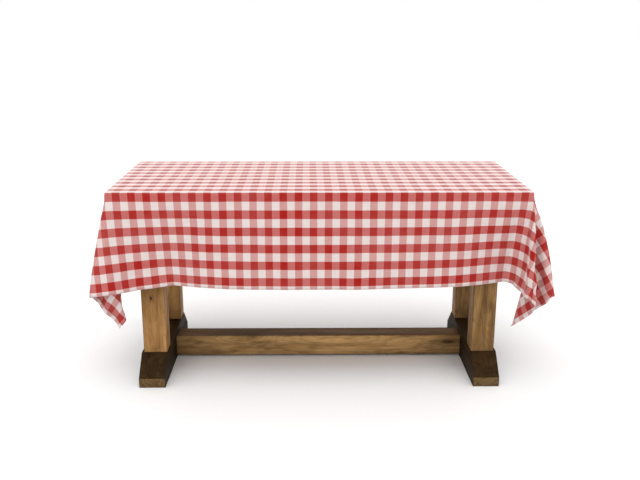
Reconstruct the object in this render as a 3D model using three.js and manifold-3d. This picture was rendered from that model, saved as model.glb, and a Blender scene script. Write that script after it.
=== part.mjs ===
// A check tablecloth over a trestle table. Millimetres, +Z up, +X along the table.
// The origin is on the floor under the middle of the table. The camera side is -Y.
import * as THREE from 'three';
import { mergeVertices } from 'three/addons/utils/BufferGeometryUtils.js';
import Module from 'manifold-3d';

const wasm = await Module();
wasm.setup();

// ---- Driving dimensions ----

// Clearances.
const fitGap = 0.3;            // between faces that touch
const boltGap = 0.4;           // radial, round a bolt's shank
const clothSideGap = 0.5;      // between the table's edge and the hanging cloth

// Tabletop.
const coveredHeight = 762;     // floor to the top of the cloth
const topLength = 1519;
const topDepth = 630;
const topThickness = 36;
const boardCount = 5;
const endBoardWidth = 100;     // each breadboard end, along X
const tongueLength = 28;
const tongueThickness = 12;
const grooveSpare = 3;         // room past the tongue's tip
const pegRadius = 5;

// Feet, one under each pair of posts.
const footWidth = 99;          // along X
const endOverhang = 74.5;      // a foot's outer face to the end of the top
const footHalfLength = 298;    // along Y
const footHeight = 110;
const footToeHeight = 37;      // vertical end face
const footFlatHalf = 218;      // half the flat top, where the slopes begin

// Posts, two on each foot.
const postWidth = 88;          // along X
const postDepth = 77.5;        // along Y
const postInset = 2;           // from the foot's inner face
const postSpacing = 353.5;     // front post's middle to rear post's middle

// Mortise and tenon at both ends of a post.
const tenonWidth = 30;
const tenonDepth = 48;
const tenonLength = 45;
const mortiseSpare = 2;

// Bearers, one over each pair of posts.
const bearerWidth = 99;
const bearerHeight = 80;
const bearerHalfLength = 280;
const bearerEndHeight = 30;
const bearerFlatHalf = 205;    // half the flat underside

// Middle batten under the top.
const battenWidth = 70;
const battenHeight = 36;
const battenHalfLength = 280;

// Stretcher between the feet.
const stretcherDepth = 84;     // along Y
const stretcherHeight = 83;
const stretcherLift = 10;      // floor to its underside
const stretcherOffset = 32;    // its middle, behind the table's middle
const stubLength = 20;
const stubDepth = 50;
const stubHeight = 50;

// Lag bolts, their washers and the screws.
const boltRadius = 5;
const boltHeadRadius = 9.2;    // across the corners, halved
const boltHeadHeight = 7;
const washerRadius = 13;
const washerThickness = 2;
const counterboreRadius = 15;
const counterboreDepth = 16;
const footBoltLength = 165;
const bearerBoltLength = 140;
const stretcherBoltLength = 160;
const screwRadius = 2.6;
const screwHeadRadius = 5.2;
const screwHeadHeight = 3.4;
const screwTipLength = 6;
const screwBoreRadius = 7;
const screwBite = 26;          // how far a screw goes into the top
const bearerGrip = 30;         // wood between a bearer screw's head and the top
const battenGrip = 20;

// Tablecloth.
const clothThickness = 2;
const clothDrop = 364;         // hem below the table's edge, along the cloth
const clothFlare = 8;          // how far the hem of a straight side hangs out
const clothEdgeRadius = 2.5;
const clothCornerRadius = 3;
const foldStart = 30;          // the corner folds open this far below the top
const cornerFold = [           // hem of one corner: outward in x and y, and its angle in the flat cloth
  [clothFlare, -12, 90],
  [58, 2, 80],
  [106, 40, 71],
  [60, 36, 58],
  [6, 8, 45],
  [32, 58, 34],
  [34, 124, 22],
  [4, 70, 10],
  [-12, clothFlare, 0],
];
const foldSteps = 18;
const longSteps = 12;
const shortSteps = 6;

const roundSides = 10;

// ---- Derived places ----

const footInnerX = topLength / 2 - endOverhang - footWidth;
const topZ = coveredHeight - clothThickness - fitGap;
const topUndersideZ = topZ - topThickness;
const bearerTopZ = topUndersideZ - fitGap;
const bearerZ = bearerTopZ - bearerHeight;
const postBottomZ = footHeight + fitGap;
const postTopZ = bearerZ - fitGap;
const postX = footInnerX + postInset + postWidth / 2;
const postYs = [-postSpacing / 2, postSpacing / 2];
const boardPitch = topDepth / boardCount;
const boardHalf = topLength / 2 - endBoardWidth;
const boardYs = Array.from({ length: boardCount }, (_, i) => (i - (boardCount - 1) / 2) * boardPitch);
const pegYs = [boardYs[0], boardYs[(boardCount - 1) / 2], boardYs[boardCount - 1]];
const pegX = boardHalf + tongueLength / 2;
const stretcherZ = stretcherLift + stretcherHeight / 2;
const straightDepth = Math.sqrt(clothDrop ** 2 - clothFlare ** 2);

// ---- Materials ----

const paint = (color, roughness, metalness = 0) =>
  new THREE.MeshStandardMaterial({ color, roughness, metalness });
const materials = {
  post: () => paint(0x9b7350, 0.6),
  foot: () => paint(0x6d5134, 0.65),
  stretcher: () => paint(0x96734a, 0.6),
  top: () => paint(0x9a7550, 0.6),
  bearer: () => paint(0x86653f, 0.65),
  peg: () => paint(0x5f4329, 0.6),
  steel: () => paint(0x8d8f92, 0.35, 0.9),
  cloth: () => paint(0xc4655f, 0.9),
};

// ---- Solids ----

function toSolid(geometry) {
  const bare = geometry.clone();
  bare.deleteAttribute('normal');
  bare.deleteAttribute('uv');
  const merged = mergeVertices(bare, 1e-4);
  return new wasm.Manifold(new wasm.Mesh({
    numProp: 3,
    vertProperties: new Float32Array(merged.attributes.position.array),
    triVerts: new Uint32Array(merged.index.array),
  }));
}

function toGeometry(solid) {
  const mesh = solid.getMesh();
  const geometry = new THREE.BufferGeometry();
  geometry.setAttribute('position', new THREE.BufferAttribute(new Float32Array(mesh.vertProperties), 3));
  geometry.setIndex(new THREE.BufferAttribute(new Uint32Array(mesh.triVerts), 1));
  geometry.computeVertexNormals();
  return geometry;
}

// A box from its lowest and highest corners.
function block(low, high) {
  const [w, d, h] = high.map((value, i) => value - low[i]);
  const [x, y, z] = high.map((value, i) => (value + low[i]) / 2);
  return toSolid(new THREE.BoxGeometry(w, d, h).translate(x, y, z));
}

// A round or hexagonal rod from z0 to z1, on the Z axis through (x, y).
function rod(radius, x, y, z0, z1, sides = roundSides) {
  const geometry = new THREE.CylinderGeometry(radius, radius, z1 - z0, sides);
  return toSolid(geometry.rotateX(Math.PI / 2).translate(x, y, (z0 + z1) / 2));
}

// A profile in Y and Z, extruded along X from x0 to x1.
function profileAlongX(points, x0, x1) {
  const shape = new THREE.Shape(points.map(([y, z]) => new THREE.Vector2(y, z)));
  const geometry = new THREE.ExtrudeGeometry(shape, { depth: x1 - x0, bevelEnabled: false });
  geometry.applyMatrix4(new THREE.Matrix4().set(0, 0, 1, x0, 1, 0, 0, 0, 0, 1, 0, 0, 0, 0, 0, 1));
  return toSolid(geometry);
}

const cutAll = (solid, cutters) => cutters.reduce((left, cutter) => left.subtract(cutter), solid);

const table = new THREE.Group();
const cloth = new THREE.Group();

function addMesh(parent, name, geometry, material) {
  const mesh = new THREE.Mesh(geometry, material);
  mesh.name = name;
  parent.add(mesh);
  return mesh;
}

const addSolid = (name, solid, kind) => addMesh(table, name, toGeometry(solid), materials[kind]());

// ---- Fasteners, each modelled along +Z with the underside of its head or washer at z = 0 ----

// A hexagon-head lag bolt. Its shank points to +Z and its head stands below the washer.
function lagBolt(length) {
  const head = rod(boltHeadRadius, 0, 0, -washerThickness - fitGap - boltHeadHeight, -washerThickness - fitGap, 6);
  const shank = rod(boltRadius, 0, 0, -washerThickness - fitGap - 1, length - boltRadius);
  const tip = toSolid(new THREE.ConeGeometry(boltRadius, boltRadius, roundSides)
    .rotateX(Math.PI / 2).translate(0, 0, length - boltRadius / 2));
  return toGeometry(head.add(shank).add(tip));
}

function washer() {
  const ring = rod(washerRadius, 0, 0, -washerThickness, 0);
  return toGeometry(ring.subtract(rod(boltRadius + boltGap, 0, 0, -2 * washerThickness, washerThickness)));
}

// A countersunk screw from its head at z = 0 to its point.
function screw(length) {
  const profile = [
    [0, 0],
    [screwHeadRadius, 0],
    [screwRadius, screwHeadHeight],
    [screwRadius, length - screwTipLength],
    [0, length],
  ];
  const points = profile.map(([r, z]) => new THREE.Vector2(r, z));
  return new THREE.LatheGeometry(points, roundSides).rotateX(Math.PI / 2);
}

// The hole for a lag bolt: counterbore below z = 0, clearance bore above it.
function boltHole(length) {
  const mouth = rod(counterboreRadius, 0, 0, -3 * counterboreDepth, 0);
  return mouth.add(rod(boltRadius + boltGap, 0, 0, -1, length + boltGap));
}

// The hole for a screw: access bore below z = 0, countersink, then a clearance bore.
function screwHole(length, access) {
  const sink = [
    [0, -access],
    [screwBoreRadius, -access],
    [screwBoreRadius, 0],
    [screwHeadRadius + 2 * fitGap, 0],
    [screwRadius + fitGap, screwHeadHeight + fitGap],
    [screwRadius + fitGap, length + fitGap],
    [0, length + fitGap],
  ];
  const points = sink.map(([r, z]) => new THREE.Vector2(r, z));
  return toSolid(new THREE.LatheGeometry(points, roundSides).rotateX(Math.PI / 2));
}

const sides = [
  { name: 'left', sign: -1 },
  { name: 'right', sign: 1 },
];
const rows = [
  { name: 'front', y: postYs[0] },
  { name: 'rear', y: postYs[1] },
];

// Places of the fasteners. A seat is where the washer or the screw's head bears.
const footBoltSeatZ = counterboreDepth;
const bearerBoltSeatZ = bearerTopZ - counterboreDepth;
const stretcherBoltSeatX = footInnerX + footWidth - counterboreDepth;
const bearerScrewSeatZ = bearerTopZ - bearerGrip;
const battenScrewSeatZ = bearerTopZ - battenGrip;
const bearerScrewLength = bearerGrip + fitGap + screwBite;
const battenScrewLength = battenGrip + fitGap + screwBite;

const flipped = (solid) => solid.rotate([180, 0, 0]);
const footBoltHole = (x, y) => boltHole(footBoltLength).translate([x, y, footBoltSeatZ]);
const bearerBoltHole = (x, y) => flipped(boltHole(bearerBoltLength)).translate([x, y, bearerBoltSeatZ]);
const stretcherBoltHole = (sign) =>
  boltHole(stretcherBoltLength).rotate([0, -90 * sign, 0])
    .translate([sign * stretcherBoltSeatX, stretcherOffset, stretcherZ]);
const bearerScrewHole = (x, y) =>
  screwHole(bearerScrewLength, bearerHeight).translate([x, y, bearerScrewSeatZ]);
const battenScrewHole = (y) =>
  screwHole(battenScrewLength, battenHeight).translate([0, y, battenScrewSeatZ]);

// ---- Feet and bearers ----

function mortise(x, y, z0, z1) {
  const halfX = tenonWidth / 2 + fitGap;
  const halfY = tenonDepth / 2 + fitGap;
  return block([x - halfX, y - halfY, z0], [x + halfX, y + halfY, z1]);
}

function foot(sign) {
  const outline = [
    [-footHalfLength, 0],
    [footHalfLength, 0],
    [footHalfLength, footToeHeight],
    [footFlatHalf, footHeight],
    [-footFlatHalf, footHeight],
    [-footHalfLength, footToeHeight],
  ];
  const inner = sign * footInnerX;
  const outer = sign * (footInnerX + footWidth);
  const body = profileAlongX(outline, Math.min(inner, outer), Math.max(inner, outer));
  const stub = stubDepth / 2 + fitGap;
  const stubUp = stubHeight / 2 + fitGap;
  const pocketEnd = sign * (footInnerX + stubLength + mortiseSpare);
  const pocketStart = sign * (footInnerX - stubLength);
  const pocket = block(
    [Math.min(pocketStart, pocketEnd), stretcherOffset - stub, stretcherZ - stubUp],
    [Math.max(pocketStart, pocketEnd), stretcherOffset + stub, stretcherZ + stubUp],
  );
  const cutters = [pocket, stretcherBoltHole(sign)];
  for (const y of postYs) {
    cutters.push(mortise(sign * postX, y, footHeight - tenonLength - mortiseSpare, footHeight + tenonLength));
    cutters.push(footBoltHole(sign * postX, y));
  }
  return cutAll(body, cutters);
}

function bearer(sign) {
  const outline = [
    [-bearerFlatHalf, bearerZ],
    [bearerFlatHalf, bearerZ],
    [bearerHalfLength, bearerTopZ - bearerEndHeight],
    [bearerHalfLength, bearerTopZ],
    [-bearerHalfLength, bearerTopZ],
    [-bearerHalfLength, bearerTopZ - bearerEndHeight],
  ];
  const x = sign * postX;
  const body = profileAlongX(outline, x - bearerWidth / 2, x + bearerWidth / 2);
  const cutters = boardYs.map((y) => bearerScrewHole(x, y));
  for (const y of postYs) {
    cutters.push(mortise(x, y, bearerZ - tenonLength, bearerZ + tenonLength + mortiseSpare));
    cutters.push(bearerBoltHole(x, y));
  }
  return cutAll(body, cutters);
}

// ---- Posts ----

function post(sign, y) {
  const x = sign * postX;
  const shaft = block(
    [x - postWidth / 2, y - postDepth / 2, postBottomZ],
    [x + postWidth / 2, y + postDepth / 2, postTopZ],
  );
  const tenons = block(
    [x - tenonWidth / 2, y - tenonDepth / 2, postBottomZ - tenonLength],
    [x + tenonWidth / 2, y + tenonDepth / 2, postTopZ + tenonLength],
  );
  return cutAll(shaft.add(tenons), [footBoltHole(x, y), bearerBoltHole(x, y)]);
}

// ---- Stretcher and batten ----

function stretcher() {
  const end = footInnerX - fitGap;
  const body = block(
    [-end, stretcherOffset - stretcherDepth / 2, stretcherLift],
    [end, stretcherOffset + stretcherDepth / 2, stretcherLift + stretcherHeight],
  );
  const stubs = block(
    [-end - stubLength, stretcherOffset - stubDepth / 2, stretcherZ - stubHeight / 2],
    [end + stubLength, stretcherOffset + stubDepth / 2, stretcherZ + stubHeight / 2],
  );
  return cutAll(body.add(stubs), [stretcherBoltHole(-1), stretcherBoltHole(1)]);
}

function batten() {
  const body = block(
    [-battenWidth / 2, -battenHalfLength, bearerTopZ - battenHeight],
    [battenWidth / 2, battenHalfLength, bearerTopZ],
  );
  return cutAll(body, boardYs.map(battenScrewHole));
}

// ---- Tabletop ----

const middleZ = topUndersideZ + topThickness / 2;

function pegHole(sign, y) {
  return rod(pegRadius + fitGap, sign * pegX, y, topUndersideZ - 1, topZ + 1);
}

function board(y) {
  const half = boardPitch / 2 - fitGap / 2;
  const bodyHalf = boardHalf - fitGap;
  const body = block([-bodyHalf, y - half, topUndersideZ], [bodyHalf, y + half, topZ]);
  const tongue = block(
    [-boardHalf - tongueLength, y - half, middleZ - tongueThickness / 2],
    [boardHalf + tongueLength, y + half, middleZ + tongueThickness / 2],
  );
  const cutters = [battenScrewHole(y)];
  for (const { sign } of sides) {
    cutters.push(bearerScrewHole(sign * postX, y));
    cutters.push(...pegYs.map((pegY) => pegHole(sign, pegY)));
  }
  return cutAll(body.add(tongue), cutters);
}

function endBoard(sign) {
  const inner = sign * boardHalf;
  const outer = sign * (topLength / 2);
  const body = block(
    [Math.min(inner, outer), -topDepth / 2, topUndersideZ],
    [Math.max(inner, outer), topDepth / 2, topZ],
  );
  const reach = sign * (boardHalf + tongueLength + grooveSpare);
  const mouth = sign * (boardHalf - 1);
  const groove = block(
    [Math.min(mouth, reach), -topDepth, middleZ - tongueThickness / 2 - fitGap],
    [Math.max(mouth, reach), topDepth, middleZ + tongueThickness / 2 + fitGap],
  );
  const screwHoles = boardYs.map((y) => bearerScrewHole(sign * postX, y));
  return cutAll(body, [groove, ...screwHoles, ...pegYs.map((y) => pegHole(sign, y))]);
}

// ---- Tablecloth: one open-bottomed shell, its walls followed column by column ----

// A column is where the cloth leaves the edge, and how far out and down its hem hangs.
function straightColumns(from, to, steps) {
  const columns = [];
  for (let i = 1; i < steps; i += 1) {
    const along = from.clone().lerp(to, i / steps);
    const outward = new THREE.Vector2(to.y - from.y, from.x - to.x).normalize();
    columns.push({ x: along.x, y: along.y, out: outward.multiplyScalar(clothFlare), depth: straightDepth });
  }
  return columns;
}

// Where the hem hangs when the cloth from the table's corner to it is straight. The angle is 0 along
// the front and 90 along the end, and the hem is square, so its distance grows toward the 45 degree tip.
function hemPoint([outX, outY, degrees]) {
  const angle = THREE.MathUtils.degToRad(Math.min(degrees, 90 - degrees));
  const length = clothDrop / Math.cos(angle);
  return new THREE.Vector3(outX, outY, Math.sqrt(length ** 2 - outX ** 2 - outY ** 2));
}

function cornerColumns(signX, signY, halfX, halfY) {
  const curve = new THREE.CatmullRomCurve3(cornerFold.map(hemPoint), false, 'centripetal');
  const columns = curve.getPoints(foldSteps).map((point, i) => {
    const turn = (i / foldSteps) * (Math.PI / 2);
    return {
      x: signX * (halfX - clothCornerRadius * (1 - Math.cos(turn))),
      y: signY * (halfY - clothCornerRadius * (1 - Math.sin(turn))),
      out: new THREE.Vector2(signX * point.x, signY * point.y),
      depth: point.z,
    };
  });
  return signX * signY > 0 ? columns : columns.reverse();
}

function clothColumns() {
  const halfX = topLength / 2 + clothSideGap + clothThickness;
  const halfY = topDepth / 2 + clothSideGap + clothThickness;
  const inX = halfX - clothCornerRadius;
  const inY = halfY - clothCornerRadius;
  const at = (x, y) => new THREE.Vector2(x, y);
  return [
    ...straightColumns(at(-inX, -halfY), at(inX, -halfY), longSteps),
    ...cornerColumns(1, -1, halfX, halfY),
    ...straightColumns(at(halfX, -inY), at(halfX, inY), shortSteps),
    ...cornerColumns(1, 1, halfX, halfY),
    ...straightColumns(at(inX, halfY), at(-inX, halfY), longSteps),
    ...cornerColumns(-1, 1, halfX, halfY),
    ...straightColumns(at(-halfX, inY), at(-halfX, -inY), shortSteps),
    ...cornerColumns(-1, -1, halfX, halfY),
  ];
}

// The ring of outer points at one share of every column's depth.
function outerRing(columns, share) {
  return columns.map(({ x, y, out, depth }) => {
    const down = foldStart + (depth - foldStart) * share;
    return new THREE.Vector3(x + out.x * share, y + out.y * share, coveredHeight - down);
  });
}

// The same ring moved inward by the cloth's thickness, level by level.
function innerRing(ring) {
  return ring.map((point, i) => {
    const before = ring[(i + ring.length - 1) % ring.length];
    const after = ring[(i + 1) % ring.length];
    const outward = new THREE.Vector2(after.y - before.y, before.x - after.x).normalize();
    return new THREE.Vector3(
      point.x - outward.x * clothThickness,
      point.y - outward.y * clothThickness,
      point.z,
    );
  });
}

function scaledRing(ring, inset, z) {
  const limitX = topLength / 2 + clothSideGap + clothThickness - inset;
  const limitY = topDepth / 2 + clothSideGap + clothThickness - inset;
  return ring.map((point) => new THREE.Vector3(
    Math.sign(point.x) * Math.min(Math.abs(point.x), limitX),
    Math.sign(point.y) * Math.min(Math.abs(point.y), limitY),
    z,
  ));
}

function tablecloth() {
  const columns = clothColumns();
  const shares = [0, 0.25, 0.6, 1];
  const wall = shares.map((share) => outerRing(columns, share));
  const outer = [
    scaledRing(wall[0], clothEdgeRadius, coveredHeight),
    scaledRing(wall[0], 0, coveredHeight - clothEdgeRadius),
    ...wall,
  ];
  const innerWall = wall.map(innerRing);
  const inner = [scaledRing(innerWall[0], clothThickness, coveredHeight - clothThickness), ...innerWall];
  const positions = [];
  const index = [];
  const place = (point) => positions.push(point.x, point.y, point.z) / 3 - 1;
  const placeRing = (ring) => ring.map(place);
  const strip = (above, below) => {
    above.forEach((corner, i) => {
      const next = (i + 1) % above.length;
      index.push(corner, below[i], below[next]);
      index.push(corner, below[next], above[next]);
    });
  };
  const fan = (ring, centre) => ring.forEach((corner, i) => index.push(centre, corner, ring[(i + 1) % ring.length]));
  const outerRings = outer.map(placeRing);
  const innerRings = inner.map(placeRing);
  for (let i = 1; i < outerRings.length; i += 1) {
    strip(outerRings[i - 1], outerRings[i]);
  }
  for (let i = 1; i < innerRings.length; i += 1) {
    strip(innerRings[i], innerRings[i - 1]);
  }
  strip(outerRings[outerRings.length - 1], innerRings[innerRings.length - 1]);
  fan(outerRings[0], place(new THREE.Vector3(0, 0, coveredHeight)));
  fan([...innerRings[0]].reverse(), place(new THREE.Vector3(0, 0, coveredHeight - clothThickness)));
  const geometry = new THREE.BufferGeometry();
  geometry.setAttribute('position', new THREE.Float32BufferAttribute(positions, 3));
  geometry.setIndex(index);
  geometry.computeVertexNormals();
  return geometry;
}

// ---- Assembly ----

boardYs.forEach((y, i) => addSolid(`top_board_${i + 1}`, board(y), 'top'));
addSolid('middle_batten', batten(), 'bearer');
addSolid('stretcher', stretcher(), 'stretcher');

for (const { name, sign } of sides) {
  addSolid(`end_board_${name}`, endBoard(sign), 'top');
  addSolid(`foot_${name}`, foot(sign), 'foot');
  addSolid(`bearer_${name}`, bearer(sign), 'bearer');
  pegYs.forEach((y, i) => {
    addSolid(`end_peg_${name}_${i + 1}`, rod(pegRadius, sign * pegX, y, topUndersideZ, topZ), 'peg');
  });
  for (const row of rows) {
    const label = `${row.name}_${name}`;
    const x = sign * postX;
    addSolid(`post_${label}`, post(sign, row.y), 'post');
    addMesh(table, `foot_bolt_${label}`, lagBolt(footBoltLength), materials.steel())
      .position.set(x, row.y, footBoltSeatZ);
    addMesh(table, `foot_washer_${label}`, washer(), materials.steel())
      .position.set(x, row.y, footBoltSeatZ - fitGap);
    const topBolt = addMesh(table, `bearer_bolt_${label}`, lagBolt(bearerBoltLength), materials.steel());
    topBolt.rotation.x = Math.PI;
    topBolt.position.set(x, row.y, bearerBoltSeatZ);
    const topWasher = addMesh(table, `bearer_washer_${label}`, washer(), materials.steel());
    topWasher.rotation.x = Math.PI;
    topWasher.position.set(x, row.y, bearerBoltSeatZ + fitGap);
  }
  const sideBolt = addMesh(table, `stretcher_bolt_${name}`, lagBolt(stretcherBoltLength), materials.steel());
  sideBolt.rotation.y = -sign * Math.PI / 2;
  sideBolt.position.set(sign * stretcherBoltSeatX, stretcherOffset, stretcherZ);
  const sideWasher = addMesh(table, `stretcher_washer_${name}`, washer(), materials.steel());
  sideWasher.rotation.y = -sign * Math.PI / 2;
  sideWasher.position.set(sign * (stretcherBoltSeatX + fitGap), stretcherOffset, stretcherZ);
  boardYs.forEach((y, i) => {
    addMesh(table, `bearer_screw_${name}_${i + 1}`, screw(bearerScrewLength), materials.steel())
      .position.set(sign * postX, y, bearerScrewSeatZ);
  });
}
boardYs.forEach((y, i) => {
  addMesh(table, `batten_screw_${i + 1}`, screw(battenScrewLength), materials.steel())
    .position.set(0, y, battenScrewSeatZ);
});

addMesh(cloth, 'tablecloth', tablecloth(), materials.cloth());

const object = new THREE.Group();
object.add(table, cloth);
export default object;
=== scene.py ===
import math

import bpy
import numpy as np
from mathutils import Matrix, Vector


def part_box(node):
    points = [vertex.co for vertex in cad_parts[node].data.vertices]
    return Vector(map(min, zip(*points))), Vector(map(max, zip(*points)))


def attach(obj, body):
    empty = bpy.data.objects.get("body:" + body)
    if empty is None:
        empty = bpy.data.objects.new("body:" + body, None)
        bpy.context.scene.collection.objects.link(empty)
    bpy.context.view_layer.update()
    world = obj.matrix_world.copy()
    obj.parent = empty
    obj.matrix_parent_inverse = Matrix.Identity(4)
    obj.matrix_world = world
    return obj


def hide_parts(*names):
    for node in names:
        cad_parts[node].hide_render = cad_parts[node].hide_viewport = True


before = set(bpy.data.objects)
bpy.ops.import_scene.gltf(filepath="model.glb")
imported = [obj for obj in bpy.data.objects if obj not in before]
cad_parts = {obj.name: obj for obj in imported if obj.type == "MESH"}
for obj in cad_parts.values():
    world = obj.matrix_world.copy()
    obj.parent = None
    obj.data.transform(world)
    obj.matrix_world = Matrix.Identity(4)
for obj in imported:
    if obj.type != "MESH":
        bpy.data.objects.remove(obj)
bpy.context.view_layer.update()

# ---- The frame's places, in metres ----

HALF_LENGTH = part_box("end_board_right")[1].x
HALF_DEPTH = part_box("end_board_right")[1].y
WOOD_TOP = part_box("end_board_right")[1].z
WOOD_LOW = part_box("end_board_right")[0].z

# The cloth lying flat: its drops, how far it stands off the wood, and the places of its red stripes
SIDE_DROP = 0.365
END_DROP = 0.365
CLOTH_OUT = 0.0015
CLOTH_UP = 0.0010
EDGE_X = HALF_LENGTH + CLOTH_OUT
EDGE_Y = HALF_DEPTH + CLOTH_OUT
CLOTH_TOP = WOOD_TOP + CLOTH_UP
COLUMN_PITCH = 0.0538
COLUMN_START = -0.7225
ROW_PITCH = 0.0640
ROW_START = -0.3330


def clean_mesh(name, vertices, faces):
    mesh = bpy.data.meshes.new(name)
    mesh.from_pydata([tuple(map(float, v)) for v in vertices], [], faces)
    mesh.validate()
    mesh.update()
    return mesh


def add_object(name, mesh):
    thing = bpy.data.objects.new(name, mesh)
    bpy.context.scene.collection.objects.link(thing)
    return thing


def apply_modifiers(thing):
    bpy.context.view_layer.update()
    graph = bpy.context.evaluated_depsgraph_get()
    shaped = bpy.data.meshes.new_from_object(thing.evaluated_get(graph), depsgraph=graph)
    thing.modifiers.clear()
    thing.data = shaped


# ---- Camera ----
# Fitted to the table's edges in the photograph: metres, radians, and millimetres for the lens

CAMERA_PLACE = Vector((-0.0421, -3.1205, 1.3670))
CAMERA_PITCH = 0.2713
CAMERA_YAW = 0.0150
CAMERA_ROLL = 0.0023
CAMERA_LENS = 45.53


def make_camera():
    forward = Vector((
        math.sin(CAMERA_YAW) * math.cos(CAMERA_PITCH),
        math.cos(CAMERA_YAW) * math.cos(CAMERA_PITCH),
        -math.sin(CAMERA_PITCH),
    ))
    right = Vector((math.cos(CAMERA_YAW), -math.sin(CAMERA_YAW), 0.0))
    up = right.cross(forward)
    turned_right = right * math.cos(CAMERA_ROLL) + up * math.sin(CAMERA_ROLL)
    turned_up = up * math.cos(CAMERA_ROLL) - right * math.sin(CAMERA_ROLL)
    data = bpy.data.cameras.new("camera")
    data.sensor_width = 36.0
    data.lens = CAMERA_LENS
    camera = bpy.data.objects.new("camera", data)
    bpy.context.scene.collection.objects.link(camera)
    turn = Matrix((turned_right, turned_up, -forward)).transposed()
    camera.matrix_world = Matrix.Translation(CAMERA_PLACE) @ turn.to_4x4()
    bpy.context.scene.camera = camera


make_camera()

# ---- The cloth's fall ----
# Each corner hangs as a cone of folds from the table's corner. A line of that cone is given by the angle
# it has on the flat cloth, from the long side's drop (0) to the end's drop (90), by how far it leans
# past the end and past the long side, in degrees, and by the side to which the slack before it bulges.
# A held line keeps its hem's point in place while the cloth settles.
CORNERS = {
    "front_left": (-1, -1, [
        (0, -3.0, 3.0, 0, False),
        (18, 10.8, 6.8, 1, True),
        (27, 8.4, 2.8, 1, False),
        (36, 3.0, 2.2, 1, True),
        (45, -2.2, -0.4, 1, True),
        (49, -5.8, -2.0, 1, True),
        (68, -1.0, -16.0, 1, False),
        (90, 5.5, -3.5, 1, False),
    ]),
    "front_right": (1, -1, [
        (0, -5.0, -4.0, 0, False),
        (13, -5.5, 10.0, 1, True),
        (21, 0.0, 16.0, 1, False),
        (26, 0.3, 19.8, 1, True),
        (45, -5.4, -0.8, 1, True),
        (58, 6.5, 4.4, 1, False),
        (70, 14.4, 6.8, 1, True),
        (90, 0.0, 0.0, 1, False),
    ]),
    "back_right": (1, 1, [
        (0, -2.0, 0.0, 0, False),
        (22, 5.0, 18.0, 1, True),
        (46, -5.0, 0.5, 1, True),
        (71, 15.0, 6.0, 1, True),
        (90, 0.0, 0.0, 1, False),
    ]),
    "back_left": (-1, 1, [
        (0, -1.0, 1.0, 0, False),
        (22, 3.0, 19.0, 1, True),
        (44, -4.0, 1.5, 1, True),
        (68, 14.0, 8.0, 1, True),
        (90, 1.0, 0.0, 1, False),
    ]),
}
TAKE_UP = 0.996       # share of its flat length that a corner's line spans: a little short of taut
MOST_SWING = 0.9      # a point's swing, squared, is at most this share of its squared drop
# Ridges held along their length: flat angle, and how much more they lean past the end and the side,
# as a slope, where they leave the table's corner
RIDGES = {
    "front_left": (18, 0.03, -0.04),
    "front_right": (72, 0.19, -0.08),
}
RIDGE_WIDTH = 16      # degrees to either side over which the extra lean dies away
RIDGE_START = 0.05    # distance from the table's corner at which a ridge begins to be held
# Nearer the table's corner than this, the cloth leaves it in one rounded point that leans evenly
POINT_REACH = 0.10
POINT_LEAN = np.array((0.12, 0.12, 1.0))
# How far the hem swings in (+) or out (-), and is drawn to the right (+), before the cloth settles
FRONT_SWING = [
    (-0.762, -0.019), (-0.700, -0.006), (-0.655, 0.020), (-0.605, 0.044), (-0.545, 0.055),
    (-0.452, 0.036), (-0.296, 0.017), (0.000, 0.007), (0.395, 0.026), (0.480, 0.036),
    (0.600, 0.060), (0.697, 0.076), (0.735, 0.056), (0.762, 0.027),
]
FRONT_DRAW = [
    (-0.762, 0.019), (-0.600, 0.010), (-0.400, 0.0), (0.500, 0.0), (0.697, -0.007), (0.735, -0.0105),
    (0.762, -0.032),
]
BACK_SWING = [
    (-0.762, 0.000), (-0.690, 0.035), (-0.600, 0.040), (-0.450, 0.010), (-0.250, -0.008), (0.000, 0.006),
    (0.300, 0.012), (0.500, 0.016), (0.620, 0.040), (0.700, 0.030), (0.762, 0.000),
]
END_SWING = {
    -1: [
        (-0.3175, -0.032), (-0.240, -0.018), (-0.120, 0.014), (0.020, 0.006),
        (0.150, 0.020), (0.250, 0.024), (0.3175, 0.0),
    ],
    1: [
        (-0.3175, 0.0), (-0.240, 0.022), (-0.120, 0.018), (0.020, 0.0),
        (0.150, 0.014), (0.250, 0.028), (0.3175, 0.0),
    ],
}
# Places along the front where the hem is held while the cloth settles
SWING_HELD = (-0.545, 0.697, 0.735)


def unit(v):
    return np.asarray(v, float) / np.linalg.norm(v)


def fold_direction(folds, angle):
    """Where the flat generator at this angle, in degrees, points: past the end, past the side, down."""
    for (a0, *lean0), (a1, *lean1) in zip(folds, folds[1:]):
        if angle <= a1:
            break
    d0, d1 = (unit([math.tan(math.radians(x)) for x in lean[:2]] + [1.0]) for lean in (lean0, lean1))
    side = lean1[2]
    share = (angle - a0) / (a1 - a0)
    chord = math.acos(max(-1.0, min(1.0, float(d0 @ d1))))
    arc = math.radians(a1 - a0)
    slack = max(0.0, arc - chord)
    straight = d0 * math.sin((1 - share) * chord) + d1 * math.sin(share * chord)
    straight = straight / math.sin(chord)
    sideways = unit(np.cross(d0, d1))
    # the height of a shallow sine wave that is longer than its chord by the slack
    bulge = 2 / math.pi * math.sqrt(chord * slack) * math.sin(math.pi * share)
    return unit(straight + sideways * bulge * side)


def smooth_swing(table, place):
    """The table's value at this place, eased from each of its entries to the next."""
    xs, ys = zip(*table)
    k = min(max(int(np.searchsorted(xs, place)) - 1, 0), len(xs) - 2)
    share = min(max((place - xs[k]) / (xs[k + 1] - xs[k]), 0.0), 1.0)
    share = share * share * (3 - 2 * share)
    return ys[k] + (ys[k + 1] - ys[k]) * share


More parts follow.
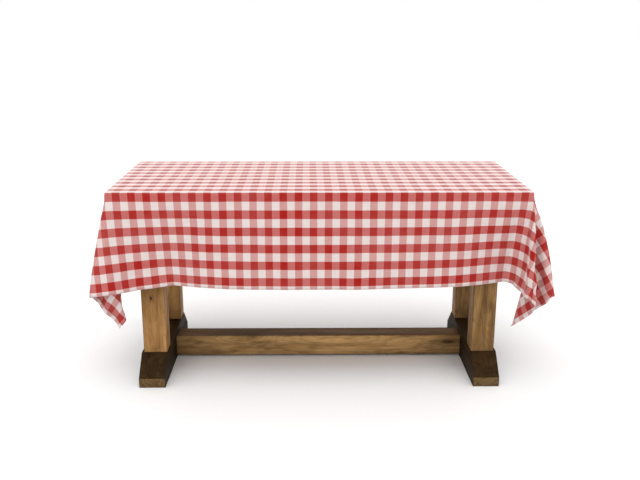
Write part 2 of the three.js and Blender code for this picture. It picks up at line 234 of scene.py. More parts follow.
def hung_at_corner(name, over_x, over_y):
    """The hung place of a point this far past the table's end and side, at a named corner."""
    sx, sy, folds = CORNERS[name]
    reach = math.hypot(over_x, over_y)
    angle = math.degrees(math.atan2(over_x, over_y))
    d = fold_direction(folds, angle)
    ridge, *slopes = RIDGES.get(name, (0, 0.0, 0.0))
    near = max(0.0, 1 - abs(angle - ridge) / RIDGE_WIDTH) * max(0.0, 1 - reach / END_DROP)
    d = unit(d + near * np.array(slopes + [0.0]))
    firm = min(1.0, reach / POINT_REACH)
    d = unit(d * firm + POINT_LEAN * (1 - firm))
    reach = reach * TAKE_UP
    return (sx * (EDGE_X + reach * d[0]), sy * (EDGE_Y + reach * d[1]), CLOTH_TOP - reach * d[2])


def hung_at_side(u, over, sy):
    """The hung place of a point at u, this far past the front's edge (sy -1) or the back's (sy 1)."""
    swing = smooth_swing(FRONT_SWING if sy < 0 else BACK_SWING, u) * over / SIDE_DROP
    drawn = smooth_swing(FRONT_DRAW, u) * over / SIDE_DROP if sy < 0 else 0.0
    down = math.sqrt(over ** 2 - min(swing ** 2, over ** 2 * MOST_SWING))
    return (u + drawn, sy * (EDGE_Y - swing), CLOTH_TOP - down)


def hung_at_end(v, over, sx):
    """The hung place of a point at v, this far past the left end's edge (sx -1) or the right's (sx 1)."""
    swing = smooth_swing(END_SWING[sx], v) * over / END_DROP
    return (sx * (EDGE_X - swing), v, CLOTH_TOP - math.sqrt(over ** 2 - swing ** 2))


def hung(u, v):
    """The place, before the cloth settles, of the point that lies at (u, v) on the flat cloth."""
    over_x, over_y = abs(u) - EDGE_X, abs(v) - EDGE_Y
    sx, sy = (1 if u > 0 else -1), (1 if v > 0 else -1)
    if over_x > 0 and over_y > 0:
        name = next(name for name, (cx, cy, _) in CORNERS.items() if (cx, cy) == (sx, sy))
        return hung_at_corner(name, over_x, over_y)
    if over_y > 0:
        return hung_at_side(u, over_y, sy)
    if over_x > 0:
        return hung_at_end(v, over_x, sx)
    return (u, v, CLOTH_TOP)


def grid_lines(edge, drop, across, down):
    """Places of the grid's lines on the flat cloth, so that a line runs along each edge of the table."""
    top = np.linspace(-edge, edge, across + 1)
    low = edge + np.linspace(0, drop, down + 1)[1:]
    return np.concatenate([-low[::-1], top, low])


# Cells along the table's top, across it and down each drop, and the frames in which the cloth settles
FULL_GRID, QUICK_GRID = (102, 42, 24, 40), (50, 20, 12, 12)
LENGTH_CELLS, DEPTH_CELLS, DOWN_CELLS, SETTLE_FRAMES = FULL_GRID
grid_u = grid_lines(EDGE_X, END_DROP, LENGTH_CELLS, DOWN_CELLS)
grid_v = grid_lines(EDGE_Y, SIDE_DROP, DEPTH_CELLS, DOWN_CELLS)
columns, rows = len(grid_u), len(grid_v)
flat_points = [(u, v) for v in grid_v for u in grid_u]
hung_points = [hung(u, v) for u, v in flat_points]
quads = [
    (j * columns + i, j * columns + i + 1, (j + 1) * columns + i + 1, (j + 1) * columns + i)
    for j in range(rows - 1) for i in range(columns - 1)
]


def nearest(lines, place):
    return int(np.argmin(np.abs(lines - place)))


def grid_vertex(u, v):
    return nearest(grid_v, v) * columns + nearest(grid_u, u)


def hem_vertices():
    """The hem's held vertices: at the end of each held fold line, and at places along the front."""
    held = []
    for sx, sy, folds in CORNERS.values():
        for angle in [fold[0] for fold in folds if fold[4]]:
            t = math.radians(angle)
            along = min(END_DROP, SIDE_DROP * math.tan(t))
            below = min(SIDE_DROP, END_DROP / math.tan(t))
            held.append(grid_vertex(sx * (EDGE_X + along), sy * (EDGE_Y + below)))
    for u in SWING_HELD:
        held.append(grid_vertex(u, -(EDGE_Y + SIDE_DROP)))
    return held


def ridge_vertices():
    """The grid's vertices nearest each held ridge, from near the table's corner to the hem."""
    held = []
    for name, (angle, *_) in RIDGES.items():
        sx, sy, _ = CORNERS[name]
        t = math.radians(angle)
        for reach in np.linspace(RIDGE_START, END_DROP, 2 * DOWN_CELLS):
            k = grid_vertex(sx * (EDGE_X + reach * math.sin(t)), sy * (EDGE_Y + reach * math.cos(t)))
            if k not in held:
                held.append(k)
    return held


BLOCK_INSET = 0.001
BLOCK_LOWER = 0.0008


def settling_block():
    """The tabletop's outline as one solid for the cloth to fall on, a little smaller than the wood."""
    low = (-HALF_LENGTH + BLOCK_INSET, -HALF_DEPTH + BLOCK_INSET, WOOD_LOW)
    high = (HALF_LENGTH - BLOCK_INSET, HALF_DEPTH - BLOCK_INSET, WOOD_TOP - BLOCK_LOWER)
    corners = [(x, y, z) for z in (low[2], high[2]) for y in (low[1], high[1]) for x in (low[0], high[0])]
    faces = [(0, 2, 3, 1), (4, 5, 7, 6), (0, 1, 5, 4), (2, 6, 7, 3), (0, 4, 6, 2), (1, 3, 7, 5)]
    block = add_object("settling_block", clean_mesh("settling_block", corners, faces))
    block.modifiers.new("collision", "COLLISION")
    block.collision.thickness_outer = 0.001
    block.collision.cloth_friction = 40
    return block


def settle(thing, pins, near_corner, frames):
    """Lets the cloth fall for some frames with these vertices held, and keeps the shape it takes.

    The vertices near the table's corners are left out of its collision with itself.
    """
    thing.shape_key_add(name="hung")
    flat = thing.shape_key_add(name="flat")
    for k, (u, v) in enumerate(flat_points):
        flat.data[k].co = (u, v, CLOTH_TOP)
    group = thing.vertex_groups.new(name="held")
    group.add(pins, 1.0, "REPLACE")
    loose = thing.vertex_groups.new(name="corner_points")
    loose.add(near_corner, 1.0, "REPLACE")
    block = settling_block()
    sim = thing.modifiers.new("cloth", "CLOTH")
    s = sim.settings
    s.quality = 8
    s.mass = 0.012
    s.tension_stiffness = 40
    s.compression_stiffness = 30
    s.shear_stiffness = 6
    s.bending_stiffness = 0.06
    s.tension_damping = 8
    s.compression_damping = 8
    s.shear_damping = 6
    s.bending_damping = 0.8
    s.air_damping = 3.0
    s.vertex_group_mass = "held"
    s.pin_stiffness = 1.0
    s.rest_shape_key = flat
    c = sim.collision_settings
    c.collision_quality = 3
    c.distance_min = 0.0012
    c.use_self_collision = True
    c.self_distance_min = 0.004
    c.self_friction = 4
    c.vertex_group_self_collisions = "corner_points"
    sim.point_cache.frame_start = 1
    sim.point_cache.frame_end = frames
    scene = bpy.context.scene
    for number in range(1, frames + 1):
        scene.frame_set(number)
    graph = bpy.context.evaluated_depsgraph_get()
    shaped = [v.co.copy() for v in thing.evaluated_get(graph).data.vertices]
    thing.modifiers.clear()
    thing.shape_key_clear()
    thing.vertex_groups.clear()
    for vertex, place in zip(thing.data.vertices, shaped):
        vertex.co = place
    bpy.data.objects.remove(block, do_unlink=True)
    scene.frame_set(1)


GRID_SLACK = 0.001    # so that rounding leaves no point of the table's edges out
CORNER_REACH = 0.07   # within this distance of the table's corner the cloth doesn't collide with itself
on_top = [
    k for k, (u, v) in enumerate(flat_points)
    if abs(u) < EDGE_X + GRID_SLACK and abs(v) < EDGE_Y + GRID_SLACK
]
at_corner = [
    k for k, (u, v) in enumerate(flat_points)
    if math.hypot(abs(u) - EDGE_X, abs(v) - EDGE_Y) < CORNER_REACH
]
cloth = add_object("gingham_tablecloth", clean_mesh("gingham_tablecloth", hung_points, quads))
settle(cloth, on_top + hem_vertices() + ridge_vertices(), at_corner, SETTLE_FRAMES)

# ---- Materials ----


class Shader:
    """Builds one material's nodes."""

    def __init__(self, name):
        self.material = bpy.data.materials.new(name)
        self.material.use_nodes = True
        self.tree = self.material.node_tree
        self.principled = self.tree.nodes["Principled BSDF"]

    def link(self, value, socket):
        if isinstance(value, bpy.types.NodeSocket):
            self.tree.links.new(value, socket)
        else:
            socket.default_value = value

    def node(self, kind, output=0, settings=None, **inputs):
        made = self.tree.nodes.new(kind)
        for key, value in (settings or {}).items():
            setattr(made, key, value)
        for key, value in inputs.items():
            self.link(value, made.inputs[key.replace("_", " ")])
        return made.outputs[output]

    def math(self, operation, a, b=0.0, c=0.0):
        made = self.tree.nodes.new("ShaderNodeMath")
        made.operation = operation
        for value, socket in zip((a, b, c), made.inputs):
            self.link(value, socket)
        return made.outputs[0]

    def vector_math(self, operation, a, b, output="Vector"):
        made = self.tree.nodes.new("ShaderNodeVectorMath")
        made.operation = operation
        for value, socket in zip((a, b), made.inputs):
            self.link(value, socket)
        return made.outputs[output]

    def split(self, vector):
        """The three components of a vector."""
        made = self.tree.nodes.new("ShaderNodeSeparateXYZ")
        self.link(vector, made.inputs[0])
        return made.outputs

    def remap(self, value, low, high, to_low=0.0, to_high=1.0):
        made = self.tree.nodes.new("ShaderNodeMapRange")
        for given, socket in zip((value, low, high, to_low, to_high), made.inputs):
            self.link(given, socket)
        return made.outputs["Result"]

    def mix(self, share, a, b, blend="MIX"):
        made = self.tree.nodes.new("ShaderNodeMix")
        made.data_type = "RGBA"
        made.blend_type = blend
        for given, socket in ((share, made.inputs[0]), (a, made.inputs[6]), (b, made.inputs[7])):
            self.link(given, socket)
        return made.outputs[2]

    def noise(self, vector, scale, detail=3.0, roughness=0.5, stretch=None):
        if stretch:
            vector = self.node("ShaderNodeMapping", Vector=vector, Scale=stretch)
        settings = dict(Vector=vector, Scale=scale, Detail=detail, Roughness=roughness)
        return self.node("ShaderNodeTexNoise", **settings)

    def bump(self, height, distance, strength=1.0, normal=None):
        made = self.tree.nodes.new("ShaderNodeBump")
        made.inputs["Strength"].default_value = strength
        made.inputs["Distance"].default_value = distance
        self.link(height, made.inputs["Height"])
        if normal is not None:
            self.link(normal, made.inputs["Normal"])
        return made.outputs[0]

    def finish(self, **sockets):
        for key, value in sockets.items():
            self.link(value, self.principled.inputs[key.replace("_", " ")])
        return self.material


RED = (0.340, 0.0080, 0.0048, 1)
WHITE = (0.672, 0.583, 0.560, 1)
WHITE_IN_ROW = 0.19
WHITE_IN_COLUMN = 0.46
MIXED_WARMTH = (1.16, 0.97, 0.95, 1)
THREAD = 0.0009
# Shares of the pitch from a red stripe's middle: where the red ends, and inside which it is full
RED_ENDS = 0.262
RED_FULL = 0.238


def stripe(shader, place, start, pitch):
    """1 inside a red stripe and 0 between stripes, soft over a thread or two."""
    pitches = shader.math("DIVIDE", shader.math("SUBTRACT", place, start), pitch)
    turns = shader.math("FRACT", shader.math("ADD", pitches, 0.5))
    off = shader.math("ABSOLUTE", shader.math("SUBTRACT", turns, 0.5))
    return shader.remap(off, RED_ENDS, RED_FULL)


def gingham():
    """Red and white check, woven: red on red, white on white, and mixed where the two cross."""
    s = Shader("gingham")
    flat = s.node("ShaderNodeUVMap", settings={"uv_map": "flat"})
    u, v, _ = s.split(flat)

    # the stripes, a little unsteady, and the weave's own checker
    wander = s.noise(flat, 7.0, 2.0)
    ragged = s.math("MULTIPLY", s.math("SUBTRACT", s.noise(flat, 400.0, 2.0), 0.5), 0.0016)
    sway = s.math("ADD", s.math("MULTIPLY", s.math("SUBTRACT", wander, 0.5), 0.0030), ragged)
    column = stripe(s, s.math("ADD", u, sway), COLUMN_START, COLUMN_PITCH)
    row = stripe(s, s.math("ADD", v, sway), ROW_START, ROW_PITCH)
    along_u = s.math("SINE", s.math("MULTIPLY", u, math.pi / THREAD))
    along_v = s.math("SINE", s.math("MULTIPLY", v, math.pi / THREAD))
    weave = s.math("MULTIPLY", along_u, along_v)

    # how much white thread shows: more in the mixed squares where the cloth is seen edge-on
    plain_row, plain_column = s.math("SUBTRACT", 1.0, row), s.math("SUBTRACT", 1.0, column)
    mixed_row = s.math("MULTIPLY", row, plain_column)
    mixed_column = s.math("MULTIPLY", plain_row, column)
    edge_on = s.node("ShaderNodeLayerWeight", "Facing", Blend=0.5)
    in_row = s.remap(edge_on, 0.50, 0.90, WHITE_IN_ROW, WHITE_IN_ROW + 0.05)
    in_column = s.remap(edge_on, 0.50, 0.90, WHITE_IN_COLUMN, WHITE_IN_COLUMN + 0.38)
    white = s.math("MULTIPLY", plain_row, plain_column)
    white = s.math("ADD", white, s.math("MULTIPLY", mixed_row, in_row))
    white = s.math("ADD", white, s.math("MULTIPLY", mixed_column, in_column))
    crossed = s.math("MULTIPLY", s.math("ADD", mixed_row, mixed_column), 0.17)
    white = s.math("ADD", white, s.math("MULTIPLY", weave, crossed))

    # uneven yarn, the mixed squares' warmer tone, fading, and a painted sheen over cloth seen edge-on
    slub_u = s.noise(flat, 1.0, 2.0, 0.6, (900.0, 14.0, 1.0))
    slub_v = s.noise(flat, 1.0, 2.0, 0.6, (14.0, 900.0, 1.0))
    slub = s.remap(s.math("ADD", slub_u, slub_v), 0.7, 1.3, 0.88, 1.10)
    colour = s.mix(1.0, s.mix(white, RED, WHITE), slub, "MULTIPLY")
    mixed = s.math("ADD", mixed_row, s.math("MULTIPLY", mixed_column, 0.5))
    colour = s.mix(mixed, colour, s.mix(1.0, colour, MIXED_WARMTH, "MULTIPLY"))
    faded = s.remap(s.noise(flat, 5.0, 4.0, 0.55), 0.35, 0.75, 0.0, 0.06)
    colour = s.mix(faded, colour, (0.86, 0.78, 0.72, 1))
    # painted sheen: the colour turns paler where the cloth is seen edge-on
    painted_sheen = s.math("MULTIPLY", s.remap(edge_on, 0.50, 0.90), s.math("MULTIPLY_ADD", white, 0.36, 0.18))
    colour = s.mix(painted_sheen, colour, (0.95, 0.81, 0.79, 1))

    # the threads' and the cloth's relief
    threads = s.math("ADD", s.math("ABSOLUTE", along_u), s.math("ABSOLUTE", along_v))
    fine = s.bump(s.math("ADD", threads, s.math("MULTIPLY", weave, 0.6)), 0.00012, 0.7)
    soft = s.bump(s.noise(flat, 26.0, 4.0, 0.6), 0.0010, 0.45, fine)
    lint = s.remap(s.noise(flat, 1500.0, 2.0), 0.3, 0.7, 0.80, 0.96)
    return s.finish(
        Base_Color=colour, Roughness=lint, Normal=soft, Sheen_Weight=0.05, Sheen_Roughness=0.6,
        Specular_IOR_Level=0.10,
    )


def lay_flat_map(thing, points):
    """The UV map that holds every vertex's place on the flat cloth, in metres."""
    layer = thing.data.uv_layers.new(name="flat")
    for loop in thing.data.loops:
        layer.data[loop.index].uv = points[loop.vertex_index]


def smooth_faces(thing):
    for face in thing.data.polygons:
        face.use_smooth = True


EDGE_CREASE = 0.9
ON_LINE = 1e-5

lay_flat_map(cloth, flat_points)
folded_edge = cloth.data.attributes.new("crease_edge", "FLOAT", "EDGE")
for edge in cloth.data.edges:
    (u0, v0), (u1, v1) = (flat_points[k] for k in edge.vertices)
    along_end = abs(abs(u0) - EDGE_X) < ON_LINE and abs(abs(u1) - EDGE_X) < ON_LINE
    along_side = abs(abs(v0) - EDGE_Y) < ON_LINE and abs(abs(v1) - EDGE_Y) < ON_LINE
    if along_end or along_side:
        folded_edge.data[edge.index].value = EDGE_CREASE
smoother = cloth.modifiers.new("smoother", "SUBSURF")
smoother.levels = smoother.render_levels = 1
smoother.uv_smooth = "PRESERVE_BOUNDARIES"
smoother.boundary_smooth = "PRESERVE_CORNERS"
apply_modifiers(cloth)
smooth_faces(cloth)

# The settled surface as a fine grid: place and outward normal at each line and row


def halved(lines):
    return np.sort(np.concatenate([lines, (lines[1:] + lines[:-1]) / 2]))


fine_u, fine_v = halved(grid_u), halved(grid_v)
surface = np.zeros((len(fine_v), len(fine_u), 3))
outward = np.zeros((len(fine_v), len(fine_u), 3))
flat_map = cloth.data.uv_layers["flat"].data
for loop in cloth.data.loops:
    u, v = flat_map[loop.index].uv
    i, j = nearest(fine_u, u), nearest(fine_v, v)
    surface[j, i] = cloth.data.vertices[loop.vertex_index].co
    outward[j, i] = cloth.data.vertices[loop.vertex_index].normal

# ---- Hem: the edge turned under, and its row of stitches ----

CLOTH_THICK = 0.0007
HEM_THICK = 0.0008
HEM_DEPTH = 0.0011
# Across the hem from its inner edge: grid line from the cloth's edge, distance past it, depth below
HEM_PROFILE = [
    (2, 0.0, 0.00095),
    (1, 0.0, HEM_DEPTH),
    (0, 0.0, 0.00100),
    (0, 0.0008, 0.00060),
    (0, 0.0010, 0.00005),
]
HEM_LINES = 3
CORNER_ROWS = 2       # rows that the end hems leave to the side hems at each corner
STITCH_LENGTH = 0.0030
STITCH_STEP = 0.0046
STITCH_RADIUS = 0.00028
STITCH_IN = 0.0125
STITCH_MARGIN = 0.006
# Rings of a stitch's thread: share of its length, height over the cloth and size, both in radii
STITCH_RINGS = [(0.0, -0.5, 0.5), (0.25, 0.55, 1.0), (0.75, 0.55, 1.0), (1.0, -0.5, 0.5)]
STITCH_SIDES = 5

gingham_cloth = gingham()
cloth.data.materials.append(gingham_cloth)


def side_lines(side):
    """The grid's lines nearest one edge of the cloth, as places, normals and flat places."""
    lines = [k if side in ("front", "left") else -1 - k for k in range(HEM_LINES)]
    if side in ("front", "back"):
        places = [surface[k] for k in lines]
        normals = [outward[k] for k in lines]
        flats = [[(u, fine_v[k]) for u in fine_u] for k in lines]
    else:
        between = slice(CORNER_ROWS, -CORNER_ROWS)
        places = [surface[between, k] for k in lines]
        normals = [outward[between, k] for k in lines]
        flats = [[(fine_u[k], v) for v in fine_v[between]] for k in lines]
    return places, normals, flats


def thicken(thing, thickness):
    """Gives a sheet its thickness, half of it to either side."""
    thicker = thing.modifiers.new("thicker", "SOLIDIFY")
    thicker.thickness = thickness
    thicker.offset = 0.0
    apply_modifiers(thing)


def hem_band(side):
    """The cloth turned under along one edge."""
    places, normals, flats = side_lines(side)
    vertices, points = [], []
    for line, past, depth in HEM_PROFILE:
        for k in range(len(places[0])):
            away = places[0][k] - places[1][k]
            away = away / max(np.linalg.norm(away), 1e-6)
            vertices.append(places[line][k] + away * past - normals[line][k] * depth)
            # turned under, it lies as far past the fold as the cloth above it lies inside
            edge, here = np.array(flats[0][k]), np.array(flats[line][k])
            points.append(tuple(edge * 2 - here))
    wide = len(places[0])
    faces = [
        (r * wide + k, r * wide + k + 1, (r + 1) * wide + k + 1, (r + 1) * wide + k)
        for r in range(len(HEM_PROFILE) - 1) for k in range(wide - 1)
    ]
    band = add_object("hem_" + side, clean_mesh("hem_" + side, vertices, faces))
    lay_flat_map(band, points)
    smooth_faces(band)
    band.data.materials.append(gingham_cloth)
    thicken(band, HEM_THICK)
    return band


def stitch_tube(start, end, normal, vertices, faces):
    """Adds a short thread that dips into the cloth at both ends."""
    along = end - start
    aside = np.cross(along / np.linalg.norm(along), normal)
    first = len(vertices)
    for share, lift, size in STITCH_RINGS:
        middle = start + along * share + normal * STITCH_RADIUS * lift
        for turn in range(STITCH_SIDES):
            angle = 2 * math.pi * turn / STITCH_SIDES
            spoke = aside * math.cos(angle) + normal * math.sin(angle)
            vertices.append(middle + spoke * STITCH_RADIUS * size)
    last = len(vertices) - STITCH_SIDES
    for ring in range(first, last, STITCH_SIDES):
        for turn in range(STITCH_SIDES):
            a, b = ring + turn, ring + (turn + 1) % STITCH_SIDES
            faces.append((a, b, b + STITCH_SIDES, a + STITCH_SIDES))
    faces.append(tuple(first + k for k in reversed(range(STITCH_SIDES))))
    faces.append(tuple(last + k for k in range(STITCH_SIDES)))


def at_distance(distance, steps, line):
    """The value at this distance along a line of points that has these distances."""
    return np.array([np.interp(distance, steps, line[:, k]) for k in range(3)])


def stitch_row(side):
    """The stitches of one hem, over the cloth and under its hem band, as one mesh."""
    places, normals, flats = side_lines(side)
    cell = np.linalg.norm(np.array(flats[0][0]) - np.array(flats[1][0]))
    share = (STITCH_IN - cell) / cell
    line = places[1] * (1 - share) + places[2] * share
    normal = normals[1] * (1 - share) + normals[2] * share
    steps = np.concatenate([[0], np.cumsum(np.linalg.norm(np.diff(line, axis=0), axis=1))])
    vertices, faces = [], []
    place = STITCH_MARGIN
    while place + STITCH_LENGTH < steps[-1] - STITCH_MARGIN:
        start, end = (at_distance(d, steps, line) for d in (place, place + STITCH_LENGTH))
        up = unit(at_distance(place, steps, normal))
        for away, depth in ((up, CLOTH_THICK / 2), (-up, HEM_DEPTH + HEM_THICK / 2)):
            stitch_tube(start + away * depth, end + away * depth, away, vertices, faces)
        place += STITCH_STEP
    row = add_object("hem_stitches_" + side, clean_mesh("hem_stitches_" + side, vertices, faces))
    smooth_faces(row)
    return row


def hem_thread():
    s = Shader("hem_thread")
    local = s.node("ShaderNodeTexCoord", "Object")
    tone = s.remap(s.noise(local, 900.0, 2.0), 0.3, 0.7)
    colour = s.mix(tone, (0.62, 0.56, 0.52, 1), (0.80, 0.76, 0.72, 1))
    twist = s.bump(s.noise(local, 2500.0, 1.0), 0.0001, 0.6)
    return s.finish(Base_Color=colour, Roughness=0.75, Normal=twist, Sheen_Weight=0.1)


SIDES = ("front", "back", "left", "right")
hems = [hem_band(side) for side in SIDES]
thread = hem_thread()
stitching = [stitch_row(side) for side in SIDES]
for row in stitching:
    row.data.materials.append(thread)

thicken(cloth, CLOTH_THICK)
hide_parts("tablecloth")
for piece in [cloth] + hems + stitching:
    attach(piece, "cloth")
TOP_BOARDS = ["top_board_%d" % number for number in range(1, 6)]

# ---- Wood and steel ----


def srgb(red, green, blue):
    """A colour given as it looks on a screen, 0 to 255, as the shader wants it."""
    def linear(c):
        c = c / 255
        return c / 12.92 if c <= 0.04045 else ((c + 0.055) / 1.055) ** 2.4
    return (linear(red), linear(green), linear(blue), 1)


def shaded(colour, share):
    """This share of a colour's light."""
    return tuple(c * share for c in colour[:3]) + (1,)


# How far the grain of one piece is moved from another's, at most
GRAIN_SHIFT = (7.3, 4.1, 9.7)


def placed_knot(s, colour, local, knot_at, dark):
    """Adds one small knot, with a dark stain round it, at a place in the piece's own coordinates."""
    away = s.vector_math("SUBTRACT", local, knot_at)
    oval = s.node("ShaderNodeMapping", Vector=away, Scale=(220.0, 30.0, 130.0))
    far = s.node("ShaderNodeVectorMath", "Value", {"operation": "LENGTH"}, Vector=oval)
    colour = s.mix(s.remap(far, 3.0, 0.8, 0.0, 0.45), colour, dark)
    return s.mix(s.remap(far, 1.15, 0.75, 0.0, 0.95), colour, shaded(dark, 0.3))


def wear_and_painted_shade(s, colour, place, dark, dust_and_shade):
    """Adds dirt on the edges, painted shade in the corners, between parts and on inner faces, and dust
    with painted shade on faces that look up.
    """
    rounded = s.node("ShaderNodeBevel", settings={"samples": 6}, Radius=0.007)
    true_normal = s.node("ShaderNodeNewGeometry", "Normal")
    facing = s.vector_math("DOT_PRODUCT", rounded, true_normal, "Value")
    wear = s.remap(s.noise(place, 38.0, 3.0), 0.35, 0.65, 0.25, 0.85)
    rubbed = s.math("MULTIPLY", s.remap(facing, 0.995, 0.90), wear)
    colour = s.mix(rubbed, colour, shaded(dark, 0.55))
    # painted shade: darker where little around the surface is open, in corners, between parts and on
    # inner faces
    painted_shade_openness = s.node("ShaderNodeAmbientOcclusion", "AO", {"samples": 8}, Distance=0.22)
    colour = s.mix(s.remap(painted_shade_openness, 0.30, 0.90, 0.62, 0.0), colour, shaded(dark, 0.4))
    # dust and painted shade on faces that look up: they turn darker
    upward = s.split(s.node("ShaderNodeTexCoord", "Normal"))[2]
    return s.mix(s.remap(upward, 0.75, 0.95, 0.0, dust_and_shade), colour, dark)


def wood(
    name, axis, light, middle, dark, knots=0.5, stain=0.3, end=None, shine=0.12, dust_and_shade=0.0, knot_at=None,
):
    """Sawn and stained softwood whose grain runs along one of the axes 0, 1 or 2.

    knots is how far the rings bend round knots (0: no knots), stain and dust_and_shade are how dark the
    broad stains and the faces that look up get (dust and painted shade), end is the colour of end grain,
    and knot_at is the place of one more knot.
    """
    s = Shader(name)
    local = s.node("ShaderNodeTexCoord", "Object")
    luck = s.node("ShaderNodeObjectInfo", "Random")
    scale = {"operation": "SCALE"}
    shift = s.node("ShaderNodeVectorMath", "Vector", scale, Vector=GRAIN_SHIFT, Scale=luck)
    place = s.vector_math("ADD", local, shift)

    def along(long_scale, cross_scale):
        return tuple(long_scale if k == axis else cross_scale for k in range(3))

    # growth rings, bent round the knots
    stretched = s.node("ShaderNodeMapping", Vector=place, Scale=along(2.6, 8.5))
    knot_far = s.node("ShaderNodeTexVoronoi", "Distance", Vector=stretched, Scale=1.0)
    pull = s.remap(knot_far, 0.0, 0.42, knots, 0.0)
    sweep = s.noise(place, 1.0, 3.0, 0.55, along(1.1, 7.0))
    rings_at = s.math("ADD", s.math("MULTIPLY", sweep, 7.5), s.math("MULTIPLY", pull, 3.2))
    rings = s.math("FRACT", s.math("MULTIPLY", rings_at, 2.2))
    late = s.math("POWER", rings, 2.5)

    # the tones, from fibres to broad stains and patches
    fibres = s.noise(place, 1.0, 3.0, 0.65, along(9.0, 520.0))
    streaks = s.noise(place, 1.0, 4.0, 0.6, along(1.6, 45.0))
    broad = s.noise(place, 1.0, 3.0, 0.5, along(1.5, 5.0))
    colour = s.mix(s.remap(streaks, 0.34, 0.66), light, middle)
    colour = s.mix(s.math("MULTIPLY", late, 0.30), colour, dark)
    colour = s.mix(s.remap(fibres, 0.50, 0.70, 0.0, 0.60), colour, dark)
    colour = s.mix(s.remap(broad, 0.48, 0.64, 0.0, stain), colour, dark)
    patches = s.noise(place, 1.0, 5.0, 0.65, along(7.0, 24.0))
    colour = s.mix(s.remap(patches, 0.50, 0.66, 0.0, 0.55), colour, dark)
    bleached = s.noise(place, 1.0, 4.0, 0.6, along(5.0, 18.0))
    colour = s.mix(s.remap(bleached, 0.54, 0.70, 0.0, 0.40), colour, light)
    if end:
        lengthways = s.split(s.node("ShaderNodeTexCoord", "Normal"))[axis]
        square_on = s.remap(s.math("ABSOLUTE", lengthways), 0.88, 0.96)
        cut = s.mix(s.math("MULTIPLY", late, 0.5), end, middle)
        colour = s.mix(square_on, colour, cut)

    # knots, wear, and painted shade in the corners and on faces that look up
    heart = s.math("MULTIPLY", s.remap(knot_far, 0.105, 0.06), 0.9 if knots else 0.0)
    colour = s.mix(heart, colour, shaded(dark, 0.35))
    halo = s.math("MULTIPLY", s.remap(knot_far, 0.24, 0.10), 0.45 if knots else 0.0)
    colour = s.mix(halo, colour, dark)
    if knot_at:
        colour = placed_knot(s, colour, local, knot_at, dark)
    colour = wear_and_painted_shade(s, colour, place, dark, dust_and_shade)

    relief = s.math("ADD", s.math("MULTIPLY", late, -0.5), s.math("MULTIPLY", fibres, 0.9))
    dents = s.bump(s.noise(place, 14.0, 3.0), 0.0035, 0.35)
    normal = s.bump(relief, 0.0006, 0.8, dents)
    rough = s.remap(streaks, 0.3, 0.7, 0.52, 0.74)
    return s.finish(Base_Color=colour, Roughness=rough, Normal=normal, Specular_IOR_Level=shine)


def painted(node, material):
    """A CAD node, with this material in all of its slots."""
    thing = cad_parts[node]
    if not thing.material_slots:
        thing.data.materials.append(material)
    for material_slot in thing.material_slots:
        material_slot.material = material
    return thing


def eased(node, material, width):
    """Gives a CAD node this material, and takes its edges off as with a plane."""
    thing = painted(node, material)
    plane = thing.modifiers.new("eased_edges", "BEVEL")
    plane.width = width
    plane.segments = 2
    plane.limit_method = "ANGLE"
    plane.angle_limit = math.radians(40)
    plane.use_clamp_overlap = True


HONEY = (srgb(202, 155, 98), srgb(172, 127, 74), srgb(100, 68, 34))
DARK_HONEY = (srgb(182, 142, 90), srgb(138, 105, 62), srgb(74, 51, 26))
DEEP = (srgb(66, 46, 18), srgb(46, 30, 8), srgb(22, 12, 3))
TAN = (srgb(176, 140, 98), srgb(150, 115, 76), srgb(98, 70, 44))
STRETCHER = (srgb(222, 178, 118), srgb(178, 137, 86), srgb(84, 58, 31))

# The small dark knot on the front left post: height, and share of the post's width from its left edge
KNOT_HEIGHT = 0.330
KNOT_ACROSS = 0.42
post_woods = {
    "left": wood("post_wood", 2, *HONEY, knots=0.55, stain=0.45),
    "right": wood("dark_post_wood", 2, *DARK_HONEY, knots=0.55, stain=0.5),
}
post_low, post_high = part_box("post_front_left")
knot_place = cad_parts["post_front_left"].matrix_world.inverted() @ Vector((
    post_low.x + KNOT_ACROSS * (post_high.x - post_low.x), post_low.y, KNOT_HEIGHT,
))
knotty_wood = wood("knotty_post_wood", 2, *HONEY, knots=0.55, stain=0.45, knot_at=tuple(knot_place))
foot_wood = wood("foot_wood", 1, *DEEP, knots=0.3, stain=0.5, end=srgb(128, 102, 66), shine=0.08)
bearer_wood = wood("bearer_wood", 1, *HONEY, knots=0.3, stain=0.45)
# the stretcher's top, under the tabletop, gets dust and painted shade
stretcher_wood = wood("stretcher_wood", 0, *STRETCHER, knots=0.8, stain=0.5, shine=0.10, dust_and_shade=0.80)
board_wood = wood("board_wood", 0, *TAN, knots=0.5, stain=0.25)
end_board_wood = wood("end_board_wood", 1, *TAN, knots=0.35, stain=0.25)
peg_wood = wood("peg_wood", 2, *DEEP, knots=0.0, stain=0.3)

# Widths of the planed edges
BOARD_EASE = 0.0015
BATTEN_EASE = 0.002
BEARER_EASE = 0.0025
FRAME_EASE = 0.003

for name in TOP_BOARDS:
    eased(name, board_wood, BOARD_EASE)
eased("middle_batten", bearer_wood, BATTEN_EASE)
eased("stretcher", stretcher_wood, FRAME_EASE)
for side in ("left", "right"):
    eased("end_board_" + side, end_board_wood, BOARD_EASE)
    eased("foot_" + side, foot_wood, FRAME_EASE)
    eased("bearer_" + side, bearer_wood, BEARER_EASE)
    for row in ("front", "rear"):
        eased("post_%s_%s" % (row, side), post_woods[side], FRAME_EASE)
    for number in (1, 2, 3):
        painted("end_peg_%s_%d" % (side, number), peg_wood)
painted("post_front_left", knotty_wood)


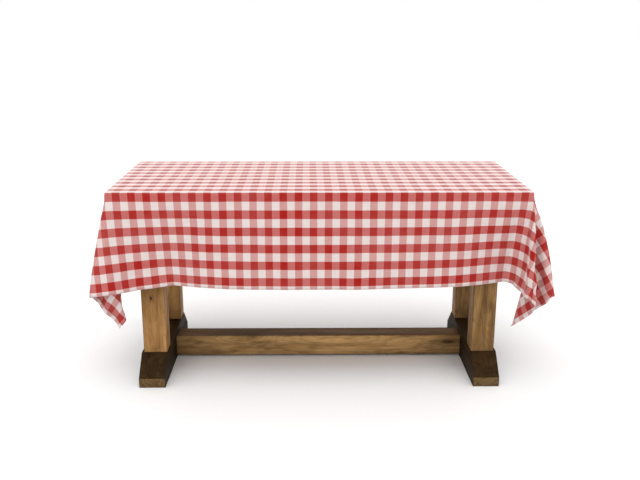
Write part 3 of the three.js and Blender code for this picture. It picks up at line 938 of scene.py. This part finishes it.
def zinc():
    s = Shader("zinc_plated_steel")
    local = s.node("ShaderNodeTexCoord", "Object")
    spangle = s.noise(local, 180.0, 3.0)
    dull = s.remap(s.noise(local, 45.0, 4.0), 0.35, 0.65)
    colour = s.mix(dull, (0.52, 0.52, 0.51, 1), (0.33, 0.32, 0.30, 1))
    return s.finish(
        Base_Color=colour, Metallic=0.95, Roughness=s.remap(spangle, 0.3, 0.7, 0.30, 0.52),
        Normal=s.bump(s.noise(local, 700.0, 2.0), 0.0001, 0.4),
    )


steel = zinc()
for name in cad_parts:
    if "bolt" in name or "washer" in name or "screw" in name:
        painted(name, steel)

# ---- Lights and floor ----


SUN_DIRECTION = (0.06, 0.50, -1.3)
KEY_PLACE = (-0.9, -3.9, 2.4)
KEY_TARGET = (0, 0, 0.5)
FLOOR_REACH = 30


def add_light(name, data, direction, place=(0, 0, 0)):
    light = bpy.data.objects.new(name, data)
    light.location = place
    light.rotation_euler = Vector(direction).to_track_quat("-Z", "Y").to_euler()
    bpy.context.scene.collection.objects.link(light)


sun = bpy.data.lights.new("soft_sun", "SUN")
sun.energy = 0.95
sun.angle = math.radians(50)
add_light("soft_sun", sun, SUN_DIRECTION)

key = bpy.data.lights.new("key", "AREA")
key.shape = "RECTANGLE"
key.size, key.size_y = 2.5, 2.0
key.energy = 12
add_light("key", key, Vector(KEY_TARGET) - Vector(KEY_PLACE), KEY_PLACE)

world = bpy.data.worlds.new("studio")
world.use_nodes = True
sky = world.node_tree.nodes["Background"]
sky.inputs["Color"].default_value = (1, 1, 1, 1)
sky.inputs["Strength"].default_value = 1.0
bpy.context.scene.world = world
bpy.context.scene.view_settings.view_transform = "Standard"

floor_corners = [
    (x * FLOOR_REACH, y * FLOOR_REACH, 0) for x, y in ((-1, -1), (1, -1), (1, 1), (-1, 1))
]
floor = add_object("floor", clean_mesh("floor", floor_corners, [(0, 1, 2, 3)]))
floor_shader = Shader("floor")
floor.data.materials.append(floor_shader.finish(Base_Color=(0.92, 0.92, 0.92, 1), Roughness=0.8))
